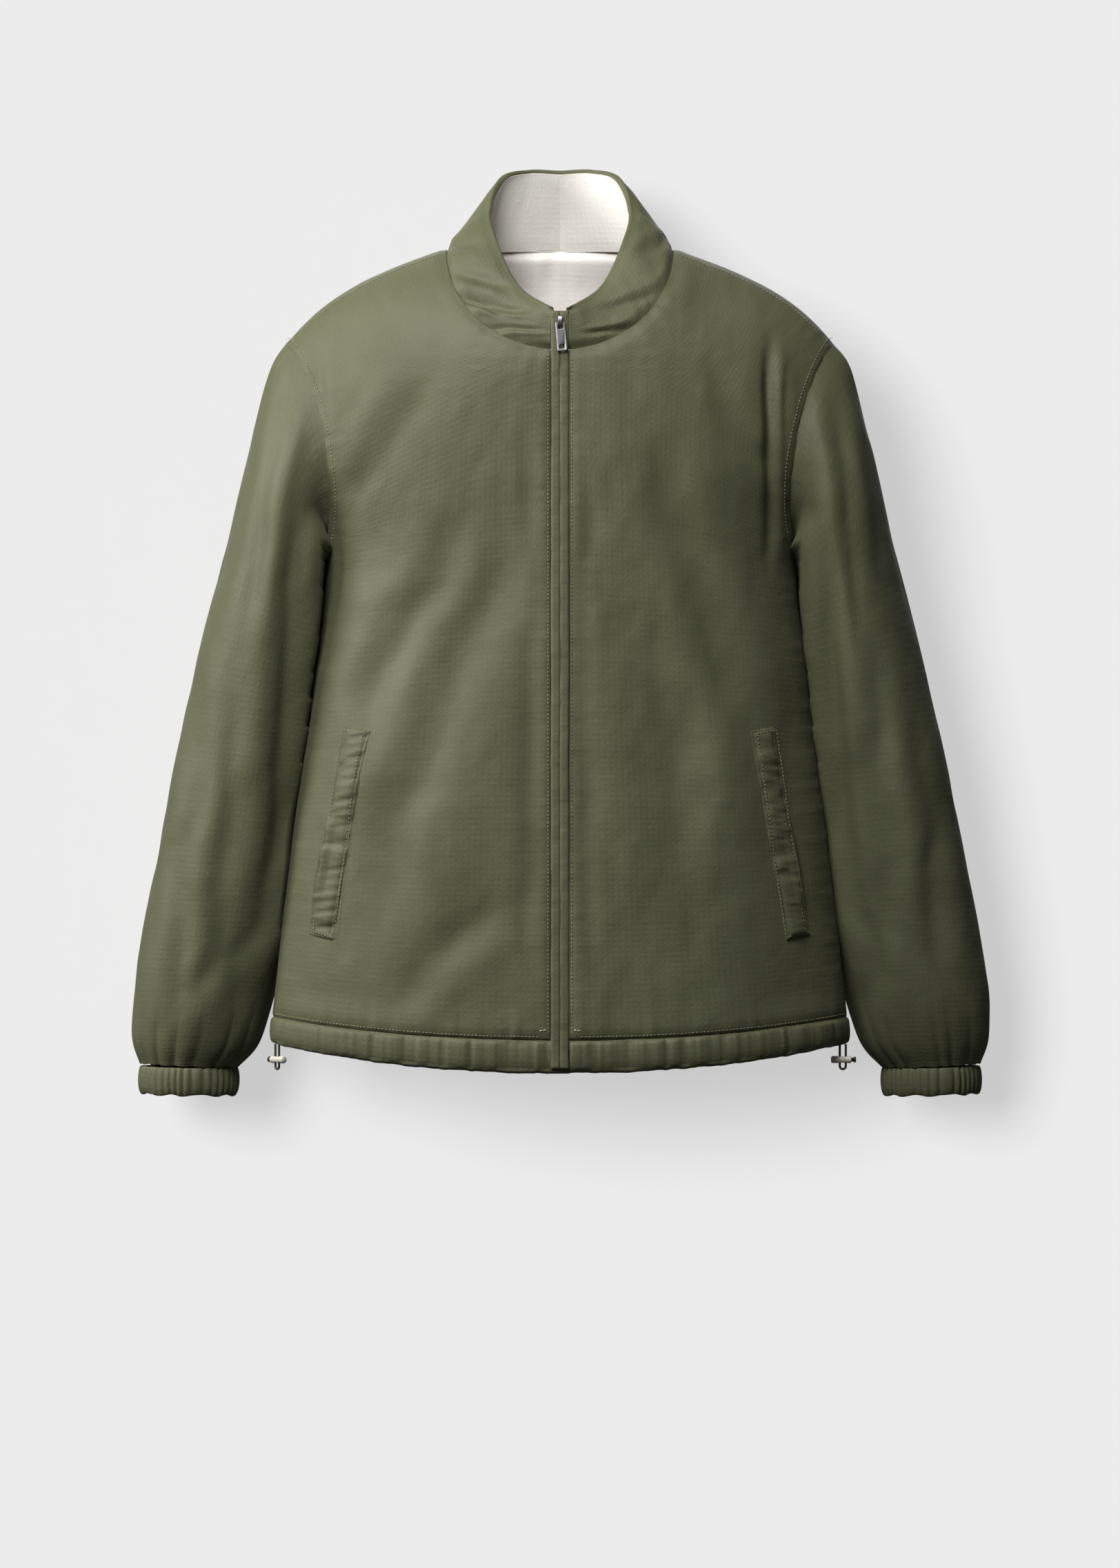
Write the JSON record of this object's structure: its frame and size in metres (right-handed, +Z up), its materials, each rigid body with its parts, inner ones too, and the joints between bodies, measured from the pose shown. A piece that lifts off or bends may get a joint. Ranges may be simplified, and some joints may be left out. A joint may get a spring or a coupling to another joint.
{
  "type": "zip-front blouson jacket",
  "caption": "Stand-collar zip blouson with padded layers, slanted welt pockets, elastic cuffs and a drawcord hem with spring locks, hung upright as worn.",
  "frame": {"origin": "midway between the two shoulder-neck points, where a hanger's neck passes", "axes": "+Z up along the body, -Y out of the zipped front, +X towards the wearer's left"},
  "size_m": [0.7208, 0.2076, 0.7818],
  "materials": {
    "shell": "matt plain-weave polyester taffeta, olive",
    "wadding": "thin lofted polyester wadding",
    "lining": "smooth off-white polyester lining",
    "zip_tape": "woven zip tape, dark olive",
    "zip_metal": "gunmetal-plated, satin",
    "elastic": "braided round elastic and woven elastic tape, cream",
    "lock_plastic": "moulded acetal, cream",
    "button_plastic": "moulded acetal, near black"
  },
  "bodies": {
    "root": {"right_front_shell": "shell", "left_front_shell": "shell", "back_shell": "shell", "collar_shell": "shell", "right_front_wadding": "wadding", "left_front_wadding": "wadding", "back_wadding": "wadding", "collar_wadding": "wadding", "right_front_lining": "lining", "left_front_lining": "lining", "back_lining": "lining", "collar_lining": "lining", "right_hem_outer": "shell", "left_hem_outer": "shell", "back_hem_outer": "shell", "right_hem_facing": "shell", "left_hem_facing": "shell", "back_hem_facing": "shell", "right_pocket_welt": "shell", "left_pocket_welt": "shell", "right_pocket_bag": "lining", "left_pocket_bag": "lining", "right_zip_guard": "shell", "left_zip_guard": "shell", "right_zip_tape": "zip_tape", "left_zip_tape": "zip_tape", "right_zip_teeth": "zip_metal", "left_zip_teeth": "zip_metal", "right_top_stop": "zip_metal", "left_top_stop": "zip_metal", "insertion_pin": "zip_metal", "retainer_box": "zip_metal", "right_front_drawcord": "elastic", "left_front_drawcord": "elastic", "back_drawcord": "elastic", "right_cord_loop": "elastic", "left_cord_loop": "elastic"},
    "right_sleeve": {"right_sleeve_shell": "shell", "right_sleeve_wadding": "wadding", "right_sleeve_lining": "lining", "right_cuff": "shell", "right_cuff_elastic": "elastic"},
    "left_sleeve": {"left_sleeve_shell": "shell", "left_sleeve_wadding": "wadding", "left_sleeve_lining": "lining", "left_cuff": "shell", "left_cuff_elastic": "elastic"},
    "slider": {"zip_slider": "zip_metal", "slider_bridge": "zip_metal"},
    "puller": {"zip_puller": "zip_metal"},
    "right_lock": {"right_lock_body": "lock_plastic", "right_lock_spring": "zip_metal"},
    "right_button": {"right_lock_button": "button_plastic"},
    "left_lock": {"left_lock_body": "lock_plastic", "left_lock_spring": "zip_metal"},
    "left_button": {"left_lock_button": "button_plastic"}
  },
  "joints": [
    {"name": "right_sleeve_swing", "type": "hinge", "parent": "root", "child": "right_sleeve", "pos_m": [-0.23, 0, -0.086], "axis": [0, 1, 0], "range_deg": [0, 60]},
    {"name": "left_sleeve_swing", "type": "hinge", "parent": "root", "child": "left_sleeve", "pos_m": [0.23, 0, -0.086], "axis": [0, -1, 0], "range_deg": [0, 60]},
    {"name": "slider_travel", "type": "slide", "parent": "root", "child": "slider", "axis": [0, -0.0207, -0.9998], "range_m": [0, 0.606]},
    {"name": "puller_flip", "type": "hinge", "parent": "slider", "child": "puller", "pos_m": [0, -0.08862, -0.07338], "axis": [-0.9962, -0.0018, -0.0871], "range_deg": [0, 130]},
    {"name": "right_lock_slide", "type": "slide", "parent": "root", "child": "right_lock", "axis": [0, 0, 1], "range_m": [-0.002, 0.006]},
    {"name": "right_button_press", "type": "slide", "parent": "right_lock", "child": "right_button", "axis": [0.6428, -0.766, 0], "range_m": [0, 0.002], "stiffness_N_per_m": 400, "springref_m": -0.001, "deforming": ["right_lock_spring"]},
    {"name": "left_lock_slide", "type": "slide", "parent": "root", "child": "left_lock", "axis": [0, 0, 1], "range_m": [-0.002, 0.006]},
    {"name": "left_button_press", "type": "slide", "parent": "left_lock", "child": "left_button", "axis": [-1, 0, 0], "range_m": [0, 0.002], "stiffness_N_per_m": 400, "springref_m": -0.001, "deforming": ["left_lock_spring"]}
  ]
}
